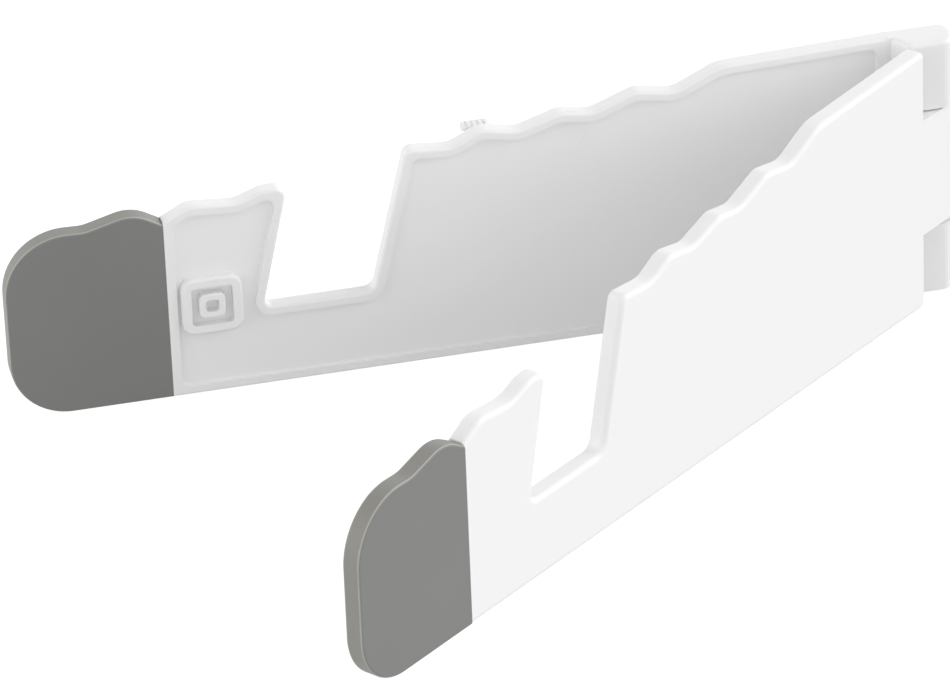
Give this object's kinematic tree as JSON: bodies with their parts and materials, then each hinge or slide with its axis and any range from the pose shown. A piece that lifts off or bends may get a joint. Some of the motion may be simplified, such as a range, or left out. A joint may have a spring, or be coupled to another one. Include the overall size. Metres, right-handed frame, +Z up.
{
  "type": "tablet stand",
  "caption": "Folding tablet stand: two slotted upright plates joined by a vertical knuckle hinge, opening to a V, with soft grey tips and a snap latch.",
  "frame": {"origin": "middle of the footprint's box, on the table, with the V open at its rest angle", "axes": "+Z up, parallel to the hinge pin; -Y is the open end of the V and +Y the hinge; +X is the right leg's side"},
  "size_m": [0.1046, 0.144, 0.0454],
  "materials": {
    "white_plastic": "fine satin moulded white, slightly glossy",
    "soft_grip": "satin warm grey elastomer",
    "steel_pin": "drawn steel wire"
  },
  "bodies": {
    "left_side": {"left_leg": "white_plastic", "left_grip": "soft_grip", "hinge_pin": "steel_pin", "fluted_peg": "white_plastic"},
    "right_side": {"right_leg": "white_plastic", "right_grip": "soft_grip"}
  },
  "joints": [
    {"name": "fold", "type": "hinge", "parent": "left_side", "child": "right_side", "pos_m": [0, 0.06787, 0], "axis": [0, 0, 1], "range_deg": [-38.8, 141.2]}
  ]
}
